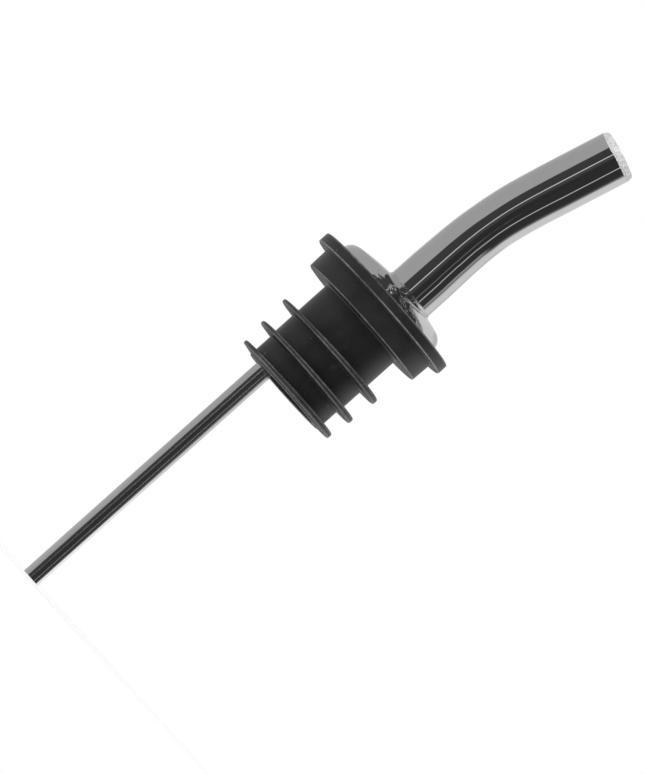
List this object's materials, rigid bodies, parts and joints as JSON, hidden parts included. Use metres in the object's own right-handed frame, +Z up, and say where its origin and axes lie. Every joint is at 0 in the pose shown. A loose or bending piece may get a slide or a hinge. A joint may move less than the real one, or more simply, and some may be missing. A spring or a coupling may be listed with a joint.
{
  "type": "liquor pour spout",
  "caption": "Bottle pour spout: bent polished tube on a domed cap, long vent tube, and a black rubber stopper with sealing fins.",
  "frame": {"origin": "on the stopper's axis, in the plane of the shoulder's underside, which seats on the bottle's mouth", "axes": "+Z up the stopper's axis towards the spout, +X towards the side that the spout bends to and pours from"},
  "size_m": [0.0286, 0.0286, 0.1166],
  "materials": {
    "stopper": "moulded satin black",
    "dome": "polished",
    "spout_tube": "polished",
    "vent_tube": "drawn and polished",
    "core_tube": "drawn",
    "base_plate": "rolled sheet",
    "braze": "bright solder"
  },
  "bodies": {
    "plug": {"stopper": "stopper"},
    "core": {"core_tube": "core_tube"},
    "head": {"base_plate": "base_plate", "rim_braze": "braze", "dome": "dome", "spout_tube": "spout_tube", "spout_braze": "braze", "vent_tube": "vent_tube", "vent_braze": "braze"}
  },
  "joints": [
    {"name": "stopper_pull_off", "type": "slide", "parent": "plug", "child": "core", "axis": [0, 0, 1], "range_m": [0, 0.076]},
    {"name": "head_swivel", "type": "hinge", "parent": "core", "child": "head", "pos_m": [0, 0, 0], "axis": [0, 0, 1], "continuous": true}
  ]
}
